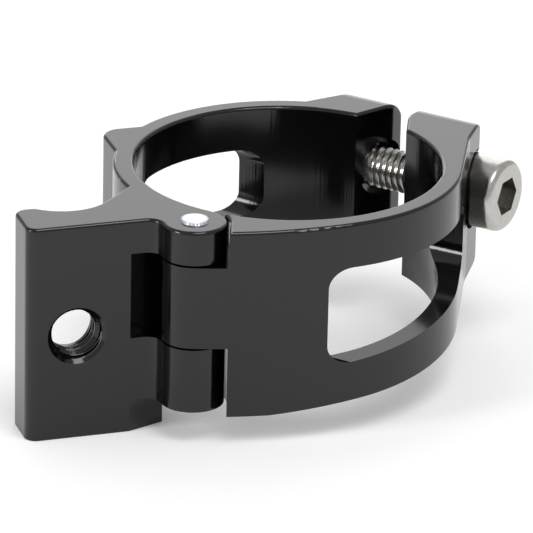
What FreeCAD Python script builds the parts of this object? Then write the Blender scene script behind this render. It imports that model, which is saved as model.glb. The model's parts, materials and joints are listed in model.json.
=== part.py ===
"""Hinged seat-tube band clamp that carries a front derailleur.

Frame: millimetres, +Z up along the seat tube, origin on the clamp axis at half
the band's height. -Y faces out of the plate that the derailleur bolts to. Lug
sketches use the bolt's own frame: local x runs along the bolt towards its head,
local y points away from the clamp axis.
"""
import FreeCAD, Part
import math
import os
import Sketcher

FACING = 0.9  # least vertical part of the normal of a face that faces up or down
LEAST_CUT = 0.01

DOC = FreeCAD.newDocument("band_clamp")
SHEET = DOC.addObject("Spreadsheet::Sheet", "Sizes")

SIZES = {
    # band
    "clamp_radius": 17.45,
    "band_wall": 2.35,
    "band_height": 21.5,
    "swing_drop": 0.5,
    "taper_angle": 6.3,
    "taper_start": -14.5,
    # hinge
    "pin_x": -15.35,
    "pin_y": -14.5,
    "pin_radius": 1.6,
    "pin_clearance": 0.04,
    "pin_proud": 0.3,
    "knuckle_radius": 3.6,
    "upper_knuckle": 3.95,
    "middle_knuckle": 9.6,
    "knuckle_gap": 0.25,
    "sweep_clearance": 0.3,
    "front_angle": -108.0,
    "relief_angle": 20.0,
    # plate
    "plate_end": -33.85,
    "plate_face": -12.8,
    "plate_height": 25.3,
    "plate_tail": 6.45,
    "scoop_radius": 5.6,
    "scoop_start": -31.3,
    "scoop_stop": -23.3,
    "scoop_run": 4.3,
    "foot_end": -17.8,
    "plate_neck_angle": 12.0,
    "mount_hole_x": -28.2,
    "mount_hole_drop": 13.1,
    "mount_hole_radius": 3.0,
    "mount_hole_chamfer": 0.35,
    # corner block behind the band
    "block_x": -17.95,
    "block_y": 15.0,
    "block_foot_y": 4.11,
    "block_inner_x": -8.975,
    "block_angle": 45.0,
    # lugs, in the bolt's frame
    "bolt_angle": -48.6,
    "bolt_offset": 21.5,
    "bolt_drop": 7.6,
    "lug_reach": 25.2,
    "main_face": 0.8,
    "lead_corner": 1.25,
    "main_lead_slope": 0.36,
    "swing_lead_out": 20.6,
    "swing_lead_slope": 0.51,
    "back_slope": 1.83,
    "main_back": -4.4,
    "swing_face": 3.95,
    "swing_back": 11.4,
    "swing_waist": 13.4,
    "swing_waist_out": 18.2,
    "swing_tangent_angle": 24.4,
    "seat_face": 11.2,
    "lug_round": 3.4,
    "lug_overcut": 0.03,
    # windows
    "window_top": 5.2,
    "window_rail": 4.9,
    "window_far": 13.5,
    "swing_window_near": -14.3,
    "main_window_near": -4.0,
    "window_round": 2.3,
    # clamp bolt and washer
    "bolt_length": 16.0,
    "bolt_radius": 2.5,
    "thread_root": 2.07,
    "bolt_hole_clearance": 0.25,
    "head_radius": 4.25,
    "head_height": 5.0,
    "hex_flats": 4.0,
    "hex_depth": 2.8,
    "head_edge": 0.8,
    "washer_height": 0.6,
    "washer_rim": 0.05,
    "relief_bore": 3.35,
    "relief_depth": 1.5,
    "seat_rim": 0.35,
    # edge rounding
    "edge_round": 0.4,
    "hinge_zone": 6.8,
    "corner_round": 1.3,
    "block_round": 2.2,
    "lug_back_round": 2.5,
    "lip_round": 0.8,
    "root_round": 1.6,
    "swing_lead_round": 3.0,
    "shoulder_round": 2.6,
    "waist_round": 8.0,
}


def fill_sheet():
    """Write each driving size into the sheet under its own name."""
    for row, (name, number) in enumerate(SIZES.items(), start=1):
        SHEET.set(f"A{row}", name)
        SHEET.set(f"B{row}", str(number))
        SHEET.setAlias(f"B{row}", name)
    DOC.recompute()


class Term:
    """A number together with the sheet expression that gives it."""

    def __init__(self, number, text):
        self.number = number
        self.text = text

    def __add__(self, other):
        other = term(other)
        return Term(self.number + other.number, f"({self.text} + {other.text})")

    def __sub__(self, other):
        other = term(other)
        return Term(self.number - other.number, f"({self.text} - {other.text})")

    def __mul__(self, other):
        other = term(other)
        return Term(self.number * other.number, f"({self.text} * {other.text})")

    def __truediv__(self, other):
        other = term(other)
        return Term(self.number / other.number, f"({self.text} / {other.text})")

    def __neg__(self):
        return Term(-self.number, f"(0 - {self.text})")

    __radd__ = __add__

    def __rsub__(self, other):
        return term(other) - self

    __rmul__ = __mul__


def term(value):
    """Return value as a Term; a bare number becomes a constant."""
    if isinstance(value, Term):
        return value
    return Term(float(value), f"{float(value):.9g}")


def size(name):
    """Return the sheet's cell of this name as a Term."""
    return Term(float(SHEET.get(name)), f"Sizes.{name}")


def cosine(angle):
    return Term(math.cos(math.radians(angle.number)), f"cos({angle.text} * 1 deg)")


def sine(angle):
    return Term(math.sin(math.radians(angle.number)), f"sin({angle.text} * 1 deg)")


def tangent(angle):
    return Term(math.tan(math.radians(angle.number)), f"tan({angle.text} * 1 deg)")


def bind(thing, prop, value):
    """Set a property and tie it to the sheet."""
    thing.setExpression(prop, value.text)


def origin_plane(body, role):
    """Return one of the body's own origin planes."""
    return next(f for f in body.Origin.OriginFeatures if f.Role == role)


def new_body(label):
    body = DOC.addObject("PartDesign::Body", label)
    body.Label = label
    return body


def new_sketch(body, name, role="XY_Plane", lift=None, turn=None):
    """Sketch on an origin plane, lifted along its normal and turned about Z."""
    sketch = body.newObject("Sketcher::SketchObject", name)
    sketch.AttachmentSupport = [(origin_plane(body, role), "")]
    sketch.MapMode = "FlatFace"
    axis = FreeCAD.Vector(0, 0, 1) if role == "XY_Plane" else FreeCAD.Vector(0, 1, 0)
    angle = turn.number if turn else 0.0
    sketch.AttachmentOffset = FreeCAD.Placement(FreeCAD.Vector(), FreeCAD.Rotation(axis, angle))
    if turn:
        bind(sketch, "AttachmentOffset.Rotation.Angle", turn)
    if lift and turn and role != "XY_Plane":
        bind(sketch, "AttachmentOffset.Base.x", lift * sine(turn))
        bind(sketch, "AttachmentOffset.Base.z", lift * cosine(turn))
    elif lift:
        bind(sketch, "AttachmentOffset.Base.z", lift)
    return sketch


def tie(sketch, constraint, value):
    """Add a driving dimension and tie it to the sheet."""
    index = sketch.addConstraint(constraint)
    sketch.setExpression(f"Constraints[{index}]", value.text)


def tie_point(sketch, edge, end, x, y):
    """Place one end of an edge at (x, y) from the sketch's origin."""
    tie(sketch, Sketcher.Constraint("DistanceX", -1, 1, edge, end, x.number), x)
    tie(sketch, Sketcher.Constraint("DistanceY", -1, 1, edge, end, y.number), y)


def arc_between(start, stop, radius):
    """Counter-clockwise arc from start to stop; None if radius is negative."""
    chord = stop - start
    half = chord.Length / 2
    rise = math.sqrt(max(radius ** 2 - half ** 2, 0.0))
    side = FreeCAD.Vector(-chord.y, chord.x, 0).normalize()
    centre = (start + stop) / 2 + side * rise
    low = math.atan2(start.y - centre.y, start.x - centre.x)
    high = math.atan2(stop.y - centre.y, stop.x - centre.x)
    circle = Part.Circle(centre, FreeCAD.Vector(0, 0, 1), radius)
    return Part.ArcOfCircle(circle, low, high)


def outline(sketch, corners):
    """Closed outline through corners of (x, y) or (x, y, radius, turn).

    A radius makes the edge that arrives at the corner an arc; turn is 1 where
    the arc runs counter-clockwise and -1 where it runs clockwise.
    """
    points = [FreeCAD.Vector(term(c[0]).number, term(c[1]).number, 0) for c in corners]
    for index, corner in enumerate(corners):
        start = points[index - 1]
        stop = points[index]
        if len(corner) == 4 and corner[3] < 0:
            sketch.addGeometry(arc_between(stop, start, corner[2].number))
        elif len(corner) == 4:
            sketch.addGeometry(arc_between(start, stop, corner[2].number))
        else:
            sketch.addGeometry(Part.LineSegment(start, stop))
    ends = [1 if len(c) == 4 and c[3] < 0 else 2 for c in corners]
    for index, corner in enumerate(corners):
        after = (index + 1) % len(corners)
        start_of_next = 3 - ends[after]
        joint = Sketcher.Constraint("Coincident", index, ends[index], after, start_of_next)
        sketch.addConstraint(joint)
        tie_point(sketch, index, ends[index], term(corner[0]), term(corner[1]))
        if len(corner) == 4:
            tie(sketch, Sketcher.Constraint("Radius", index, corner[2].number), corner[2])
    return sketch


def disc(sketch, x, y, radius):
    """Full circle at (x, y)."""
    x, y, radius = term(x), term(y), term(radius)
    centre = FreeCAD.Vector(x.number, y.number, 0)
    circle = Part.Circle(centre, FreeCAD.Vector(0, 0, 1), radius.number)
    sketch.addGeometry(circle)
    tie_point(sketch, 0, 3, x, y)
    tie(sketch, Sketcher.Constraint("Radius", 0, radius.number), radius)
    return sketch


def pad(body, name, sketch, depth, reverse=False):
    feature = body.newObject("PartDesign::Pad", name)
    feature.Profile = sketch
    bind(feature, "Length", depth)
    feature.Reversed = reverse
    finish(body, feature)
    return feature


def pocket(body, name, sketch, depth=None, reverse=False, both=False):
    """Cut a sketch out of the body, to a depth or right through it."""
    before = body.Shape.Volume
    feature = body.newObject("PartDesign::Pocket", name)
    feature.Profile = sketch
    feature.Reversed = reverse
    if depth:
        bind(feature, "Length", depth)
    else:
        feature.Type = "ThroughAll"
    if both:
        feature.Midplane = True
    finish(body, feature)
    if body.Shape.Volume > before - LEAST_CUT:
        raise RuntimeError(f"{name} cuts nothing")
    return feature


def finish(body, feature):
    """Recompute and stop at the first feature that failed."""
    body.Tip = feature
    DOC.recompute()
    failed = "Invalid" in feature.State or "Error" in feature.State
    if failed or feature.Shape.isNull() or not feature.Shape.isValid():
        raise RuntimeError(f"{body.Label}: {feature.Label} failed {feature.State}")


def upright_edges(shape, places):
    """Names of the vertical edges nearest to the given (x, y) places."""
    names = []
    for x, y in places:
        best = None
        for index, edge in enumerate(shape.Edges, start=1):
            first = edge.Vertexes[0].Point
            last = edge.Vertexes[-1].Point
            if math.hypot(first.x - last.x, first.y - last.y) > 1e-4 or edge.Length < 1:
                continue
            away = math.hypot(first.x - x.number, first.y - y.number)
            if best is None or away < best[0]:
                best = (away, f"Edge{index}")
        names.append(best[1])
    return sorted(set(names))


def bevel_edges(body, name, edges, width):
    before = body.Tip
    feature = body.newObject("PartDesign::Chamfer", name)
    feature.Base = (before, edges)
    bind(feature, "Size", width)
    finish(body, feature)
    return feature


def rim_edges(shape, way, keep):
    """Names of the edges round the flat faces that face up (1) or down (-1)."""
    names = []
    for face in shape.Faces:
        if face.Surface.TypeId != "Part::GeomPlane" or face.normalAt(0, 0).z * way < FACING:
            continue
        for edge in face.Edges:
            middle = edge.valueAt((edge.FirstParameter + edge.LastParameter) / 2)
            if keep(middle):
                index = next(i for i, e in enumerate(shape.Edges, start=1) if e.isSame(edge))
                names.append(f"Edge{index}")
    return sorted(set(names))


def circle_edges(shape, radius):
    """Names of the circular edges of one radius."""
    names = []
    for index, edge in enumerate(shape.Edges, start=1):
        if edge.Degenerated or edge.Curve.TypeId != "Part::GeomCircle":
            continue
        if abs(edge.Curve.Radius - radius.number) < 1e-6:
            names.append(f"Edge{index}")
    return names


def round_edges(body, name, edges, radius):
    before = body.Tip
    feature = body.newObject("PartDesign::Fillet", name)
    feature.Base = (before, edges)
    bind(feature, "Radius", radius)
    finish(body, feature)
    return feature


def shared_terms():
    """Sizes and places that several pieces take from the same cells."""
    v = {name: size(name) for name in SIZES}
    v["top"] = v["band_height"] / 2
    v["bottom"] = v["top"] - v["band_height"]
    v["ring_radius"] = v["clamp_radius"] + v["band_wall"]
    v["wall_middle"] = v["clamp_radius"] + v["band_wall"] / 2
    v["far"] = 2 * v["lug_reach"]
    v["profile_turn"] = v["bolt_angle"] + 90
    v["bolt_z"] = v["top"] - v["bolt_drop"]
    v["sweep_radius"] = v["knuckle_radius"] + v["sweep_clearance"]
    v["head_seat"] = v["seat_face"] + v["washer_height"]
    v["part_line"] = v["pin_x"] * cosine(v["bolt_angle"]) + v["pin_y"] * sine(v["bolt_angle"])
    v["slot_top"] = v["top"] - v["upper_knuckle"]
    v["slot_height"] = v["middle_knuckle"] + 2 * v["knuckle_gap"]
    return v


def from_pin(v, distance, angle, along=None, toward=None):
    """Point at a distance and angle from the hinge pin, then along a second way."""
    x = v["pin_x"] + distance * cosine(angle)
    y = v["pin_y"] + distance * sine(angle)
    if along:
        x = x + along * cosine(toward)
        y = y + along * sine(toward)
    return x, y


def in_plan(v, along, out):
    """Row x and y of a point given in the bolt's frame."""
    x = along * cosine(v["bolt_angle"]) - out * sine(v["bolt_angle"])
    y = along * sine(v["bolt_angle"]) + out * cosine(v["bolt_angle"])
    return x, y


def plan(body, name, corners, lift, turn=None):
    """Outline in plan, at a height."""
    return outline(new_sketch(body, f"{name}_outline", lift=lift, turn=turn), corners)


def plan_disc(body, name, x, y, radius, lift):
    """Circle in plan, at a height."""
    return disc(new_sketch(body, f"{name}_circle", lift=lift), x, y, radius)


def cut_along_bolt(body, v, name, corners):
    """Cut an outline of (out from the axis, height) straight along the bolt."""
    sketch = new_sketch(body, f"{name}_outline", "XZ_Plane", turn=v["profile_turn"])
    outline(sketch, corners)
    return pocket(body, name, sketch, both=True)


def drill(body, v, name, radius, start, depth=None):
    """Hole on the bolt's line, from start back towards the bolt's tip."""
    sketch = new_sketch(body, f"{name}_circle", "XZ_Plane", lift=start, turn=v["profile_turn"])
    disc(sketch, v["bolt_offset"], v["bolt_z"], radius)
    return pocket(body, name, sketch, depth)


def rounded(low, high, near, far_low, far, r):
    """Window outline with round corners; the lower edge may slope."""
    return [(near, low + r), (near, high - r), (near + r, high, r, -1), (far - r, high),
            (far, high - r, r, -1), (far, far_low + r), (far - r, far_low, r, -1),
            (near + r, low), (near, low + r, r, -1)][1:]


def cut_window(body, v, near):
    """Round-cornered window; its lower edge follows the taper of the band."""
    far = v["window_far"]
    slope = tangent(v["taper_angle"])
    rail = v["bottom"] + v["window_rail"]
    low = rail + (near - v["taper_start"]) * slope
    far_low = rail + (far - v["taper_start"]) * slope
    high = v["top"] - v["window_top"]
    corners = rounded(low, high, near, far_low, far, v["window_round"])
    cut_along_bolt(body, v, "window", corners)


def cut_taper(body, v, drop):
    """Raise the underside of the band towards the lug."""
    slope = tangent(v["taper_angle"])
    start = v["taper_start"] - drop / slope
    low = v["bottom"] - drop
    reach = v["far"]
    deep = low - v["band_height"]
    high = low + (reach - start) * slope
    cut_along_bolt(body, v, "taper", [(start, low), (start, deep), (reach, deep), (reach, high)])


def round_lug(body, v):
    """Round the outer end of a lug above and below."""
    r = v["lug_round"]
    out = v["lug_reach"] + v["lug_overcut"]
    inner = out - r
    beyond = out + r
    top = v["top"]
    low = v["bottom"] + (inner - v["taper_start"]) * tangent(v["taper_angle"])
    cut_along_bolt(body, v, "lug_top", [(inner, top + r), (inner, top), (out, top - r, r, -1),
                                        (beyond, top - r), (beyond, top + r)])
    cut_along_bolt(body, v, "lug_foot", [(inner, low - r), (beyond, low - r), (beyond, low + r),
                                         (out, low + r), (inner, low, r, -1)])


def make_mount_half(v):
    """Fixed half: derailleur plate, two hinge knuckles, band and threaded lug."""
    body = new_body("mount_half")
    zero = term(0)
    top, bottom, height, far = v["top"], v["bottom"], v["band_height"], v["far"]
    face, reach, turn = v["main_face"], v["lug_reach"], v["bolt_angle"]

    pad(body, "ring", plan_disc(body, "ring", zero, zero, v["ring_radius"], top), height, True)
    corner_out = v["bolt_offset"] + v["lead_corner"]
    inside = v["clamp_radius"] - v["knuckle_radius"]
    lead_inside = face - (corner_out - inside) * v["main_lead_slope"]
    trim = [(lead_inside, inside), (v["part_line"], zero), (v["part_line"], -far), (far, -far),
            (far, corner_out), (face, corner_out)]
    pocket(body, "trim", plan(body, "trim", trim, top, turn))

    lead_start = face - (corner_out - v["clamp_radius"]) * v["main_lead_slope"]
    back_foot = v["main_back"] - (reach - v["clamp_radius"]) / v["back_slope"]
    lug = [(lead_start, v["clamp_radius"]), (face, corner_out), (face, reach),
           (v["main_back"], reach), (back_foot, v["clamp_radius"])]
    pad(body, "lug", plan(body, "lug", lug, top, turn), height, True)

    deep = v["clamp_radius"] * cosine(v["block_angle"])
    block = [(v["block_x"], v["block_foot_y"]), (v["block_x"], v["block_y"]),
             (v["block_inner_x"], v["block_y"]), (-deep, deep)]
    pad(body, "block", plan(body, "block", block, top), height, True)

    tail = v["plate_face"] + v["plate_tail"]
    neck = v["wall_middle"]
    neck_angle = v["plate_neck_angle"]
    plate = [(v["plate_end"], v["plate_face"]), (v["plate_end"], tail), (v["scoop_start"], tail),
             (v["scoop_stop"], tail, v["scoop_radius"], 1),
             (v["scoop_stop"] + v["scoop_run"], tail + v["scoop_run"]),
             (-neck * cosine(neck_angle), -neck * sine(neck_angle)),
             (v["pin_x"], v["pin_y"]), (v["pin_x"], v["plate_face"])]
    pad(body, "plate", plan(body, "plate", plate, top), v["plate_height"], True)
    knuckle = plan_disc(body, "knuckle", v["pin_x"], v["pin_y"], v["knuckle_radius"], top)
    pad(body, "knuckle", knuckle, height, True)

    soften_mount_half(body, v, corner_out, tail)
    bore = plan_disc(body, "bore", zero, zero, v["clamp_radius"], top)
    pocket(body, "bore", bore)
    slot = slot_corners(v)
    pocket(body, "hinge_slot", plan(body, "hinge_slot", slot, v["slot_top"]), v["slot_height"])
    pocket(body, "under_knuckle", plan(body, "under_knuckle", slot, bottom))
    foot = [(v["foot_end"], -far), (far, -far), (far, far), (v["foot_end"], far)]
    pocket(body, "foot", plan(body, "foot", foot, bottom))
    cut_taper(body, v, zero)
    round_lug(body, v)
    soften_rims(body, v, True)
    cut_window(body, v, v["main_window_near"])

    pin = plan_disc(body, "pin", v["pin_x"], v["pin_y"], v["pin_radius"], top)
    pocket(body, "pin_hole", pin)
    drill(body, v, "tapped_hole", v["bolt_radius"], face + v["bolt_radius"])
    mouth = face + v["bolt_radius"]
    drill(body, v, "thread_relief", v["relief_bore"], mouth, mouth - face + v["relief_depth"])
    hole = new_sketch(body, "mount_circle", "XZ_Plane", lift=v["plate_tail"] - v["plate_face"])
    disc(hole, v["mount_hole_x"], top - v["mount_hole_drop"], v["mount_hole_radius"])
    pocket(body, "mount_hole", hole)
    rims = circle_edges(body.Shape, v["mount_hole_radius"])
    bevel_edges(body, "mount_hole_bevel", rims, v["mount_hole_chamfer"])
    return body


def soften_mount_half(body, v, corner_out, tail):
    """Round the upright corners of the fixed half."""
    face = v["main_face"]
    spots = {
        "plate_front": (v["corner_round"], [(v["plate_end"], v["plate_face"])]),
        "plate_back": (v["corner_round"], [(v["plate_end"], tail)]),
        "scoop_lip": (v["corner_round"], [(v["scoop_start"], tail)]),
        "block_corner": (v["block_round"], [(v["block_x"], v["block_y"])]),
        "lug_back": (v["lug_back_round"], [in_plan(v, v["main_back"], v["lug_reach"])]),
        "lug_lip": (v["lip_round"], [in_plan(v, face, v["lug_reach"]),
                                     in_plan(v, face, corner_out)]),
        "plate_root": (v["root_round"], [(v["pin_x"] - v["knuckle_radius"], v["plate_face"])]),
    }
    for name, (radius, places) in spots.items():
        round_edges(body, name, upright_edges(body.Shape, places), radius)


def soften_rims(body, v, lower_too):
    """Round the top's rims and, where asked, the lower ones away from the hinge."""
    flat_end = (v["lug_reach"] + v["lug_overcut"] - v["lug_round"]).number
    turn = math.radians(v["bolt_angle"].number)
    outside = (v["ring_radius"] - v["edge_round"]).number
    near_top = (v["top"] - v["edge_round"]).number
    room = v["sweep_radius"].number
    room_band = v["sweep_clearance"].number / 2

    def from_hinge(point):
        return math.hypot(point.x - v["pin_x"].number, point.y - v["pin_y"].number)

    def clear_of_lug_round(point):
        out = point.y * math.cos(turn) - point.x * math.sin(turn)
        return abs(out - flat_end) > v["edge_round"].number

    def upper(point):
        on_room = abs(from_hinge(point) - room) < room_band
        return point.z > near_top and not on_room and clear_of_lug_round(point)

    def lower(point):
        outer = math.hypot(point.x, point.y) > outside
        clear_of_plate = point.x > v["block_x"].number
        away = from_hinge(point) > v["hinge_zone"].number
        return outer and clear_of_plate and away and clear_of_lug_round(point)

    round_edges(body, "upper_rim", rim_edges(body.Shape, 1, upper), v["edge_round"])
    if lower_too:
        round_edges(body, "lower_rim", rim_edges(body.Shape, -1, lower), v["edge_round"])


def slot_corners(v):
    """Room for the moving knuckle: a circle about the pin and a slanting wall."""
    room = v["sweep_radius"]
    wall = v["relief_angle"]
    reach = v["lug_reach"] / 2
    square = wall + 90
    side = v["front_angle"] + 90
    start = from_pin(v, room, square)
    out = from_pin(v, room, square, -reach, wall)
    right = from_pin(v, room, side)
    low_right = from_pin(v, room, side, reach, v["front_angle"])
    low_left = (out[0], low_right[1])
    return [out, start, (right[0], right[1], room, -1), low_right, low_left]


def make_swing_half(v):
    """Hinged half: middle knuckle, band and the lug that the bolt head pulls."""
    body = new_body("swing_half")
    zero = term(0)
    top, far, turn = v["top"], v["far"], v["bolt_angle"]
    reach, face = v["lug_reach"], v["swing_face"]
    height = v["band_height"] + v["swing_drop"]
    ring = v["ring_radius"]

    pad(body, "swing_ring", plan_disc(body, "swing_ring", zero, zero, ring, top), height, True)
    inside = v["clamp_radius"] - v["knuckle_radius"]
    lead_inside = face + (v["swing_lead_out"] - inside) * v["swing_lead_slope"]
    trim = [(v["part_line"], -far), (v["part_line"], zero), (lead_inside, inside),
            (face, v["swing_lead_out"]), (face, far), (-far, far), (-far, -far)]
    pocket(body, "swing_trim", plan(body, "swing_trim", trim, top, turn))

    lead_start = face + (v["swing_lead_out"] - v["clamp_radius"]) * v["swing_lead_slope"]
    touch = v["swing_tangent_angle"]
    lug = [(lead_start, v["clamp_radius"]), (face, v["swing_lead_out"]), (face, reach),
           (v["swing_back"], reach), (v["swing_waist"], v["swing_waist_out"]),
           (ring * cosine(touch), ring * sine(touch)), (inside, ring * sine(touch))]
    pad(body, "swing_lug", plan(body, "swing_lug", lug, top, turn), height, True)

    front = front_corners(v)
    pad(body, "hinge_front", plan(body, "hinge_front", front, top), height, True)
    soften_swing_half(body, v)
    knuckle_top = v["slot_top"] - v["knuckle_gap"]
    knuckle = plan_disc(body, "middle", v["pin_x"], v["pin_y"], v["knuckle_radius"], knuckle_top)
    pad(body, "middle_knuckle", knuckle, v["middle_knuckle"], True)
    bore = plan_disc(body, "swing_bore", zero, zero, v["clamp_radius"], top)
    pocket(body, "swing_bore", bore)

    room_corners = hinge_room_corners(v)
    upper = plan(body, "upper_room", room_corners, top)
    pocket(body, "upper_room", upper, v["upper_knuckle"] + v["knuckle_gap"])
    lower = plan(body, "lower_room", room_corners, knuckle_top - v["middle_knuckle"])
    pocket(body, "lower_room", lower)

    cut_taper(body, v, v["swing_drop"])
    round_lug(body, v)
    soften_rims(body, v, False)
    cut_window(body, v, v["swing_window_near"])
    running = v["pin_radius"] + v["pin_clearance"]
    pin = plan_disc(body, "swing_pin", v["pin_x"], v["pin_y"], running, top)
    pocket(body, "swing_pin_hole", pin)
    outside = v["seat_face"] + v["head_height"]
    drill(body, v, "clear_hole", v["bolt_radius"] + v["bolt_hole_clearance"], outside)
    seat = v["head_radius"] + v["washer_rim"] + v["seat_rim"]
    drill(body, v, "head_seat", seat, outside, v["head_height"])
    return body


def hinge_room_corners(v):
    """Room for the fixed knuckles; its wall leaves the arc straight into the bore."""
    room = v["sweep_radius"]
    side = v["front_angle"] + 90
    right = from_pin(v, room, side)
    low_right = from_pin(v, room, side, v["lug_reach"], v["front_angle"])
    wall_x = v["pin_x"] + room
    far_x = v["pin_x"] - v["lug_reach"]
    end_y = v["pin_y"] + room
    return [low_right, (far_x, low_right[1]), (far_x, end_y), (wall_x, end_y),
            (wall_x, v["pin_y"]), (right[0], right[1], room, -1)]


def front_corners(v):
    """Front of the hinge: an arc that touches the knuckle and the band."""
    knuckle = v["knuckle_radius"]
    ring = v["ring_radius"]
    front = v["front_angle"]
    pin_x, pin_y = v["pin_x"], v["pin_y"]
    ahead = pin_x * cosine(front) + pin_y * sine(front)
    apart = pin_x * pin_x + pin_y * pin_y
    excess = apart + 2 * knuckle * ahead + knuckle * knuckle - ring * ring
    bend = excess / (2 * (knuckle - ring + ahead))
    centre_x, centre_y = from_pin(v, knuckle - bend, front)
    reach = bend - ring
    start = from_pin(v, knuckle, front)
    end = (-centre_x * ring / reach, -centre_y * ring / reach)
    return [start, (end[0], end[1], bend, 1), (pin_x, pin_y)]


def soften_swing_half(body, v):
    """Round the upright corners of the hinged half."""
    face, reach = v["swing_face"], v["lug_reach"]
    spots = {
        "swing_lead": (v["swing_lead_round"], [in_plan(v, face, v["swing_lead_out"])]),
        "swing_lip": (v["corner_round"], [in_plan(v, face, reach)]),
        "swing_shoulder": (v["shoulder_round"], [in_plan(v, v["swing_back"], reach)]),
        "swing_waist": (v["waist_round"], [in_plan(v, v["swing_waist"], v["swing_waist_out"])]),
    }
    for name, (radius, places) in spots.items():
        round_edges(body, name, upright_edges(body.Shape, places), radius)


def make_hinge_pin(v):
    """Straight pin through all three knuckles, a little proud at the top."""
    body = new_body("hinge_pin")
    lift = v["top"] + v["pin_proud"]
    profile = plan_disc(body, "shank", v["pin_x"], v["pin_y"], v["pin_radius"], lift)
    pad(body, "pin_shank", profile, v["band_height"] + v["pin_proud"], True)
    bevel_edges(body, "pin_ends", circle_edges(body.Shape, v["pin_radius"]), v["pin_proud"])
    return body


def along_bolt(point, v):
    """How far a point lies along the bolt, towards its head."""
    turn = math.radians(v["bolt_angle"].number)
    return point.x * math.cos(turn) + point.y * math.sin(turn)


def make_clamp_bolt(v):
    """Socket head cap screw; its thread is a cylinder at root size."""
    body = new_body("clamp_bolt")
    place = (v["bolt_offset"], v["bolt_z"])
    head_end = v["head_seat"] + v["head_height"]
    sketch = new_sketch(body, "head_circle", "XZ_Plane", lift=head_end, turn=v["profile_turn"])
    pad(body, "head", disc(sketch, *place, v["head_radius"]), v["head_height"], True)
    sketch = new_sketch(body, "root_circle", "XZ_Plane", lift=v["head_seat"],
                        turn=v["profile_turn"])
    pad(body, "thread", disc(sketch, *place, v["thread_root"]), v["bolt_length"], True)
    rims = circle_edges(body.Shape, v["head_radius"])
    front = max(rims, key=lambda name: along_bolt(body.Shape.getElement(name).Curve.Center, v))
    round_edges(body, "head_rim", [front], v["head_edge"])
    sketch = new_sketch(body, "hex_outline", "XZ_Plane", lift=head_end, turn=v["profile_turn"])
    corner = v["hex_flats"] / (2 * cosine(term(30)))
    corners = [(place[0] + corner * cosine(term(60 * k)), place[1] + corner * sine(term(60 * k)))
               for k in range(6)]
    pocket(body, "hex_socket", outline(sketch, corners), v["hex_depth"])
    return body


def make_bolt_washer(v):
    """Plain washer between the bolt head and the lug."""
    body = new_body("bolt_washer")
    place = (v["bolt_offset"], v["bolt_z"])
    sketch = new_sketch(body, "washer_circle", "XZ_Plane", lift=v["head_seat"],
                        turn=v["profile_turn"])
    rim = v["head_radius"] + v["washer_rim"]
    pad(body, "washer", disc(sketch, *place, rim), v["washer_height"], True)
    drill(body, v, "washer_hole", v["bolt_radius"] + v["bolt_hole_clearance"], v["head_seat"])
    return body


def check_model(bodies):
    """Stop before anything is written if an object or a shape is unsound."""
    for thing in DOC.Objects:
        if "Invalid" in thing.State or "Error" in thing.State:
            raise RuntimeError(f"{thing.Label} is {thing.State}")
    for body in bodies:
        shape = body.Shape
        if shape.isNull() or not shape.isValid() or len(shape.Solids) != 1:
            raise RuntimeError(f"{body.Label} isn't one valid solid")


def main():
    fill_sheet()
    v = shared_terms()
    bodies = [
        make_mount_half(v),
        make_swing_half(v),
        make_hinge_pin(v),
        make_clamp_bolt(v),
        make_bolt_washer(v),
    ]
    check_model(bodies)
    os.makedirs("parts", exist_ok=True)
    for body in bodies:
        print(body.Label, round(body.Shape.Volume, 1))
        body.Shape.exportStep(f"parts/{body.Label}.step")


main()
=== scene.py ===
# %% [markdown]
# # A hinged seat-tube band clamp
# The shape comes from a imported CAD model, which this lesson loads and never
# alters. What is left to do in Blender is finish, light and the small detail
# that CAD leaves plain: screw threads and the serrated end of the hinge pin.

# %% Load the frame
import json
import math

import bmesh
import bpy
from mathutils import Matrix, Vector


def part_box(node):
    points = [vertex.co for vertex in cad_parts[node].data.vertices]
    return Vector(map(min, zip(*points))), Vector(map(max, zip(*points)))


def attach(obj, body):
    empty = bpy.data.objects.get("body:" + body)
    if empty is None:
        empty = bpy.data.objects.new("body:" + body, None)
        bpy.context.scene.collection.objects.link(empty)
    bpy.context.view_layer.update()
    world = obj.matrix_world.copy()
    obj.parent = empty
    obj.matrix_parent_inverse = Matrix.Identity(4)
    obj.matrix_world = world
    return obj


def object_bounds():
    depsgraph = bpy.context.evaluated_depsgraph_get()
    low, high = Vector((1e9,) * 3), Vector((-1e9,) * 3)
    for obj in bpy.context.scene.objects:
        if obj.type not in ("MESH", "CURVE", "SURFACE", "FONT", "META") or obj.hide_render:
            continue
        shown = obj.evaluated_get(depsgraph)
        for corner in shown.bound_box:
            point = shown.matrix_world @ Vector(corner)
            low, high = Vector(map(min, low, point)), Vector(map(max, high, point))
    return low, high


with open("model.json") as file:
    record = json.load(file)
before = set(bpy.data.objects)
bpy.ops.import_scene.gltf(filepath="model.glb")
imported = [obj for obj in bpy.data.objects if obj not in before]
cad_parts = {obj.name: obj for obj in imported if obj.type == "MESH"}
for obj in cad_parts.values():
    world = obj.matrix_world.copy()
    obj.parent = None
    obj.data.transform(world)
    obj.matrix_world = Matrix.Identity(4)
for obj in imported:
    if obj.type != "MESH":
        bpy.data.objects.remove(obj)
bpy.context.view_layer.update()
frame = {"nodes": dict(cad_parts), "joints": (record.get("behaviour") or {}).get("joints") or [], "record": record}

MM = 0.001
nodes = frame["nodes"]
print("loaded", sorted(nodes))

# %% [markdown]
# Colours are written as sRGB hex, the way a colour picker shows them. Shaders
# work in linear light, so one function turns the one into the other.

# %% Colour


def linear(code):
    """sRGB hex to a linear RGBA tuple, by the standard's own curve."""
    parts = [int(code[i:i + 2], 16) / 255 for i in (1, 3, 5)]
    straight = [p / 12.92 if p <= 0.04045 else ((p + 0.055) / 1.055) ** 2.4 for p in parts]
    return (*straight, 1.0)


print("mid grey is", [round(c, 3) for c in linear("#808080")[:3]])

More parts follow.
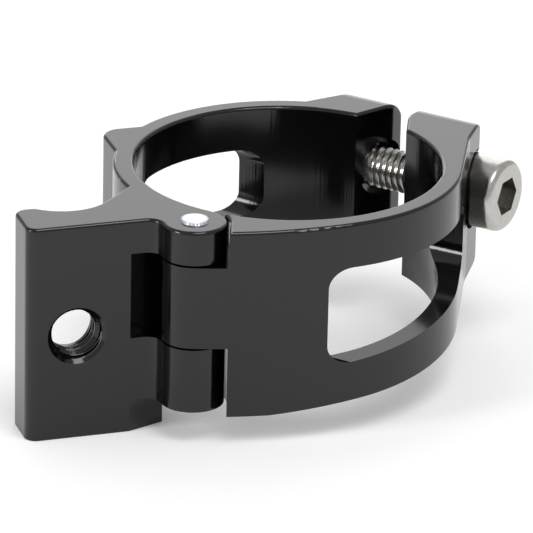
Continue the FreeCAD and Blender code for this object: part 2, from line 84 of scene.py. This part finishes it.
# %% [markdown]
# A material is a tree of nodes. It is easier to read when one function adds a
# node, sets it up and links it, so that each line of a material is one node.

# %% Nodes
# where a Mix node set to colours has its two inputs and its result
MIX_FIRST, MIX_SECOND, MIX_RESULT = 6, 7, 2


def add(tree, kind, settings=None, inputs=None):
    """Add a node; an input that is a socket is linked, any other is set."""
    made = tree.nodes.new(kind)
    for name, value in (settings or {}).items():
        setattr(made, name, value)
    for name, value in (inputs or {}).items():
        if isinstance(value, bpy.types.NodeSocket):
            tree.links.new(value, made.inputs[name])
        else:
            made.inputs[name].default_value = value
    return made


def new_material(name):
    """Empty node material and its tree, ready for a shader."""
    material = bpy.data.materials.new(name)
    material.use_nodes = True
    material.node_tree.nodes.clear()
    return material, material.node_tree


def finish_material(material, shader):
    """Send the shader to the surface and say so."""
    add(material.node_tree, "ShaderNodeOutputMaterial", inputs={"Surface": shader.outputs[0]})
    print("material", material.name, "has", len(material.node_tree.nodes), "nodes")


# %% [markdown]
# The band is aluminium with a bright-dipped black anodised skin. The skin is a
# clear, dyed oxide, so it shines like a dielectric: dark when faced squarely
# and pale where the eye skims it. That is why it isn't given a metal shader.
# Milling leaves fine upright lines. Real ones are nearer 0.1 mm apart; these
# are drawn at 0.35 mm so that they show.

# %% Black anodised aluminium
TOOL_LINE = 0.35 * MM
TOOL_LINE_DEPTH = 0.04 * MM
TOOL_LINE_STRENGTH = 0.35
TOOL_LINE_DETAIL = 2.0
# height is squeezed by this much, which draws the noise out into upright lines
SQUEEZE = 0.02
# the dye and the polish vary a little over patches of this size
CLOUD = 9.0 * MM
DYE_DARK, DYE_PALE = "#040405", "#0a0a0b"
POLISH_LOW, POLISH_HIGH = 0.09, 0.16
OXIDE_IOR = 1.50


def anodised_aluminium():
    """Glossy dyed oxide with faint upright milling lines."""
    material, tree = new_material("bright_dipped_black_anodised_aluminium")
    place = add(tree, "ShaderNodeTexCoord").outputs["Object"]
    surface = add(tree, "ShaderNodeNewGeometry")
    stretched = add(tree, "ShaderNodeMapping",
                    inputs={"Vector": place, "Scale": (1, 1, SQUEEZE)})
    lines = add(tree, "ShaderNodeTexNoise",
                inputs={"Vector": stretched.outputs[0], "Scale": 1 / TOOL_LINE,
                        "Detail": TOOL_LINE_DETAIL})
    cloud = add(tree, "ShaderNodeTexNoise", inputs={"Vector": place, "Scale": 1 / CLOUD})
    # milled lines are on the upright walls, so fade them where a face looks up
    parts = add(tree, "ShaderNodeSeparateXYZ", inputs={0: surface.outputs["Normal"]})
    upness = add(tree, "ShaderNodeMath", {"operation": "ABSOLUTE"}, {0: parts.outputs["Z"]})
    wall = add(tree, "ShaderNodeMath", {"operation": "SUBTRACT", "use_clamp": True},
               {0: 1.0, 1: upness.outputs[0]})
    depth = add(tree, "ShaderNodeMath", {"operation": "MULTIPLY"},
                {0: wall.outputs[0], 1: lines.outputs["Fac"]})
    relief = add(tree, "ShaderNodeBump",
                 inputs={"Height": depth.outputs[0], "Strength": TOOL_LINE_STRENGTH,
                         "Distance": TOOL_LINE_DEPTH})
    rough = add(tree, "ShaderNodeMapRange",
                inputs={"Value": cloud.outputs["Fac"],
                        "To Min": POLISH_LOW, "To Max": POLISH_HIGH})
    dye = add(tree, "ShaderNodeMix", {"data_type": "RGBA"},
              {"Factor": cloud.outputs["Fac"],
               MIX_FIRST: linear(DYE_DARK), MIX_SECOND: linear(DYE_PALE)})
    shader = add(tree, "ShaderNodeBsdfPrincipled",
                 inputs={"Base Color": dye.outputs[MIX_RESULT], "Roughness": rough.outputs[0],
                         "Normal": relief.outputs[0], "IOR": OXIDE_IOR})
    finish_material(material, shader)
    return material


anodised = anodised_aluminium()

# %% [markdown]
# Screw, washer and pin are steel. The screw and washer are nickel plated, a
# little warm and quite smooth. The pin's end is bare ground steel, paler and
# cooler. Both are metals, so the shader's IOR stays at its default.

# %% Plated and ground steel
GRAIN_DEPTH = 0.01 * MM
GRAIN_STRENGTH = 0.1
GRAIN_DETAIL = 3.0


def steel(name, dark, pale, grain, rough_low, rough_high):
    """Metal with a fine grain of the given size and a range of roughness."""
    material, tree = new_material(name)
    place = add(tree, "ShaderNodeTexCoord").outputs["Object"]
    noise = add(tree, "ShaderNodeTexNoise",
                inputs={"Vector": place, "Scale": 1 / grain, "Detail": GRAIN_DETAIL})
    colour = add(tree, "ShaderNodeMix", {"data_type": "RGBA"},
                 {"Factor": noise.outputs["Fac"],
                  MIX_FIRST: linear(dark), MIX_SECOND: linear(pale)})
    rough = add(tree, "ShaderNodeMapRange",
                inputs={"Value": noise.outputs["Fac"],
                        "To Min": rough_low, "To Max": rough_high})
    relief = add(tree, "ShaderNodeBump",
                 inputs={"Height": noise.outputs["Fac"], "Strength": GRAIN_STRENGTH,
                         "Distance": GRAIN_DEPTH})
    shader = add(tree, "ShaderNodeBsdfPrincipled",
                 inputs={"Base Color": colour.outputs[MIX_RESULT],
                         "Roughness": rough.outputs[0],
                         "Normal": relief.outputs[0], "Metallic": 1.0})
    finish_material(material, shader)
    return material


nickel = steel("nickel_plated_steel", dark="#a9a6a1", pale="#cbc9c5", grain=0.5 * MM,
               rough_low=0.18, rough_high=0.30)
ground = steel("ground_pin_steel", dark="#c4cbd4", pale="#e3e8ee", grain=0.25 * MM,
               rough_low=0.28, rough_high=0.45)

# %% [markdown]
# Both halves of the band come out of the same dye bath, and the screw and its
# washer are plated alike, so three finishes cover all five pieces.

# %% Give each piece its finish
FINISH = {
    "mount_half": anodised,
    "swing_half": anodised,
    "hinge_pin": ground,
    "clamp_bolt": nickel,
    "bolt_washer": nickel,
}
for node, material in FINISH.items():
    slots = nodes[node].material_slots
    for held in slots:
        held.material = material
    print(node, "has", len(slots), "slot(s):", material.name)

# %% [markdown]
# The threads and the pin's teeth are both a row of outlines with a skin drawn
# over them, so they share two steps: skin the row, then make it an object.

# %% Skins and objects


def skin(mesh, outlines):
    """Join each outline to the next with faces and close both ends."""
    corners = len(outlines[0])
    for one, two in zip(outlines, outlines[1:]):
        for k in range(corners):
            after = (k + 1) % corners
            mesh.faces.new((one[k], one[after], two[after], two[k]))
    mesh.faces.new(reversed(outlines[0]))
    mesh.faces.new(outlines[-1])


def make_object(name, mesh, material):
    """Turn a finished bmesh into an object of one material."""
    bmesh.ops.recalc_face_normals(mesh, faces=mesh.faces)
    data = bpy.data.meshes.new(name)
    mesh.to_mesh(data)
    mesh.free()
    data.materials.append(material)
    made = bpy.data.objects.new(name, data)
    bpy.context.scene.collection.objects.link(made)
    print(name, "has", len(data.polygons), "faces")
    return made


# %% [markdown]
# A screw thread is a ridge swept along a helix. The CAD model leaves it out
# because it is slow to compute, and has a plain cylinder at root size. The
# ridge here is a four-point profile carried round the axis, so crest and
# flanks are real faces that catch the light. Both ends fade out over half a
# turn, as a thread runs out.

# %% A ridge along a helix
STEPS_PER_TURN = 48
FADE_STEPS = STEPS_PER_TURN / 2
# at its very ends the ridge keeps this share of its height, so no face is flat
LEAST_HEIGHT = 0.05
# half widths of the ridge, as shares of the pitch
FOOT_SHARE, CREST_SHARE = 0.46, 0.07
# the ridge's foot is sunk this far into the piece, so no gap shows
SUNK = 0.02


def thread_ridge(name, material, centre, axis, start, stop, pitch, root, crest):
    """Helical ridge from radius root to crest; crest may be the smaller one."""
    axis = Vector(axis).normalized()
    side = axis.orthogonal().normalized()
    other = axis.cross(side)
    count = int((stop - start) / pitch * STEPS_PER_TURN)
    foot_half, crest_half = FOOT_SHARE * pitch, CREST_SHARE * pitch
    mesh = bmesh.new()
    outlines = []
    for step in range(count + 1):
        angle = 2 * math.pi * step / STEPS_PER_TURN
        along = start + (stop - start) * step / count
        fade = min(1.0, step / FADE_STEPS, (count - step) / FADE_STEPS)
        out = side * math.cos(angle) + other * math.sin(angle)
        tip = root + (crest - root) * max(fade, LEAST_HEIGHT)
        profile = [(root, -foot_half), (tip, -crest_half), (tip, crest_half), (root, foot_half)]
        outlines.append([mesh.verts.new((Vector(centre) + out * r + axis * (along + a)) * MM)
                         for r, a in profile])
    skin(mesh, outlines)
    return make_object(name, mesh, material)


# %% [markdown]
# The clamp screw is an M5, with a pitch of 0.8 mm. Its thread rides on the
# screw's own body, so that it travels and turns with it.

# %% The screw's thread
M5_PITCH, M5_SHANK, M5_CREST = 0.8, 2.07, 2.44
# how far the thread runs along the screw, from the joint's own point
THREAD_FROM, THREAD_TO = -3.7, 11.3

screw_joint = next(j for j in frame["joints"] if j["name"] == "bolt_turn")
screw_foot = Vector(screw_joint["pos_m"]) / MM
bolt_thread = thread_ridge("bolt_thread", nickel, screw_foot, screw_joint["axis"],
                           THREAD_FROM, THREAD_TO, M5_PITCH, M5_SHANK - SUNK, M5_CREST)
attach(bolt_thread, "bolt")

# %% [markdown]
# The hole in the plate is threaded too, at M6 size. Here the ridge stands
# inwards, from the hole's wall towards its axis.

# %% The plate's thread
M6_PITCH, M6_CREST = 1.0, 2.55
# the wall is a whole circle only over this length; past it the scoop slopes away
FULL_WALL = 4.4

hole = next(m for m in frame["record"]["mounts"] if m["name"] == "derailleur_hole")
hole_centre = Vector(hole["pos_m"]) / MM
wall_half = (FULL_WALL - M6_PITCH) / 2
plate_thread = thread_ridge("plate_thread", anodised, hole_centre, hole["axis"],
                            -wall_half, wall_half, M6_PITCH,
                            hole["dims"]["r_mm"] + SUNK, M6_CREST)
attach(plate_thread, "fixed_half")

# %% [markdown]
# The pin's end is serrated, so that it bites when it is pressed in. Each tooth
# is a small wedge standing on the pin's bevel: two three-point outlines with a
# skin between them.

# %% Serrations on the pin
TEETH = 26
BEVEL = 0.3
# how much of each step round the pin is tooth, the rest being the gap
TOOTH_SHARE = 0.55
# the tooth's outer corner, from the rim as a share of the bevel and down from the top
CORNER_SHARE, CORNER_DROP = 0.3, 0.04
FOOT_DROP = 0.01


def pin_serrations():
    """Ring of teeth round the top of the hinge pin."""
    low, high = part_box("hinge_pin")
    centre = (low + high) / 2 / MM
    top = high.z / MM
    outer = (high.x - low.x) / 2 / MM
    points = [(outer - BEVEL, top - FOOT_DROP),
              (outer - BEVEL * CORNER_SHARE, top - CORNER_DROP),
              (outer, top - BEVEL)]
    mesh = bmesh.new()
    for tooth in range(TEETH):
        sides = []
        for edge in (-0.5, 0.5):
            angle = 2 * math.pi * (tooth + edge * TOOTH_SHARE) / TEETH
            way = Vector((math.cos(angle), math.sin(angle), 0))
            sides.append([mesh.verts.new((Vector((centre.x, centre.y, z)) + way * r) * MM)
                          for r, z in points])
        skin(mesh, sides)
    return make_object("pin_serrations", mesh, ground)


serrations = pin_serrations()
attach(serrations, "fixed_half")

# %% [markdown]
# Gloss black shows little but what it reflects, so the surroundings matter
# more than the lamps. The floor is white paper, which gives the skimming faces
# their grey and keeps the clamp's shadow. It is whitened by a faint glow that
# only the eye and mirrors see, so that no lamp has to be stronger.

# %% White paper floor
FLOOR_HALF = 2.5
FLOOR_GAP = 0.05 * MM
PAPER = "#f7f7f7"
PAPER_ROUGHNESS = 0.9
PAPER_LIFT = 0.13


def white_paper():
    """Matt sheet with a lift for eye and mirror rays only."""
    material, tree = new_material("matt_white_paper")
    paper = add(tree, "ShaderNodeBsdfPrincipled",
                inputs={"Base Color": linear(PAPER), "Roughness": PAPER_ROUGHNESS})
    ray = add(tree, "ShaderNodeLightPath")
    seen = add(tree, "ShaderNodeMath", {"operation": "MAXIMUM"},
               {0: ray.outputs["Is Camera Ray"], 1: ray.outputs["Is Glossy Ray"]})
    lift = add(tree, "ShaderNodeMath", {"operation": "MULTIPLY"},
               {0: seen.outputs[0], 1: PAPER_LIFT})
    glow = add(tree, "ShaderNodeEmission", inputs={"Strength": lift.outputs[0]})
    both = add(tree, "ShaderNodeAddShader",
               inputs={0: paper.outputs[0], 1: glow.outputs[0]})
    finish_material(material, both)
    return material


def make_floor():
    """Square sheet just under the clamp."""
    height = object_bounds()[0][2] - FLOOR_GAP
    corners = [(x * FLOOR_HALF, y * FLOOR_HALF, height)
               for x, y in ((-1, -1), (1, -1), (1, 1), (-1, 1))]
    data = bpy.data.meshes.new("floor")
    data.from_pydata(corners, [], [(0, 1, 2, 3)])
    data.materials.append(white_paper())
    made = bpy.data.objects.new("floor", data)
    bpy.context.scene.collection.objects.link(made)
    print("floor height", round(height / MM, 2), "mm")


make_floor()

# %% [markdown]
# The sky is an even pale dome. It fills every reflection that the floor and
# the panels don't.

# %% Sky
SKY_LEVEL = 0.6


def make_sky():
    """Even white dome."""
    world = bpy.data.worlds.new("studio")
    world.use_nodes = True
    world.node_tree.nodes.clear()
    sky = add(world.node_tree, "ShaderNodeBackground",
              inputs={"Color": linear("#ffffff"), "Strength": SKY_LEVEL})
    add(world.node_tree, "ShaderNodeOutputWorld", inputs={"Surface": sky.outputs[0]})
    bpy.context.scene.world = world
    print("sky level", SKY_LEVEL)


make_sky()

# %% [markdown]
# Three soft panels draw the bright lines along rounded edges. Each is a square
# lamp that faces the clamp and is hidden from the camera.

# %% Soft panels
# name: place and width in metres, and power in watts
PANELS = {
    "left_panel": ((-0.34, -0.06, 0.16), 0.10, 0.4),
    # rounded upper edges mirror this one, so it is wide enough to draw a line on them
    "top_panel": ((0.04, -0.17, 0.41), 0.20, 0.65),
    # level upper faces mirror this one
    "back_panel": ((0.13, 0.40, 0.18), 0.40, 0.62),
}


def make_panel(name, place, wide, power):
    """Soft square lamp that faces the clamp."""
    lamp = bpy.data.lights.new(name, "AREA")
    lamp.size = wide
    lamp.energy = power
    made = bpy.data.objects.new(name, lamp)
    made.location = place
    made.visible_camera = False
    made.rotation_euler = (-Vector(place)).to_track_quat("-Z", "Y").to_euler()
    bpy.context.scene.collection.objects.link(made)
    print(name, "is", wide, "m wide at", power, "W")


for name, (place, wide, power) in PANELS.items():
    make_panel(name, place, wide, power)

# %% [markdown]
# A long lens far away keeps the band's circle from bulging. The camera stands
# in front and to the left, looks down by 22 degrees and is tilted slightly.
# Its place is given in mm along its own axes, from the middle of the band's top.

# %% Camera
ELEVATION, ROLL, AZIMUTH = math.radians(22.44), math.radians(1.304), math.radians(18)
ACROSS, ABOVE, AWAY = -2.402, -11.882, 600.0
LENS = 358.4


def turned(v):
    """From the camera's own plan axes to the frame's."""
    c, s = math.cos(AZIMUTH), math.sin(AZIMUTH)
    return Vector((v.x * c + v.y * s, -v.x * s + v.y * c, v.z))


level = Vector((1, 0, 0))
upright = Vector((0, math.sin(ELEVATION), math.cos(ELEVATION)))
right = turned(level * math.cos(ROLL) + upright * math.sin(ROLL))
up = turned(upright * math.cos(ROLL) - level * math.sin(ROLL))
back = turned(Vector((0, -math.cos(ELEVATION), math.sin(ELEVATION))))
band_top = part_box("swing_half")[1].z / MM
spot = right * ACROSS + up * ABOVE + back * AWAY + Vector((0, 0, band_top))
facing = Matrix((right, up, back)).transposed().to_4x4()

optics = bpy.data.cameras.new("camera")
optics.lens = LENS
camera = bpy.data.objects.new("camera", optics)
camera.matrix_world = Matrix.Translation(spot * MM) @ facing
bpy.context.scene.collection.objects.link(camera)
bpy.context.scene.camera = camera
bpy.context.scene.view_settings.view_transform = "Standard"
print("camera at", [round(c, 3) for c in camera.location])
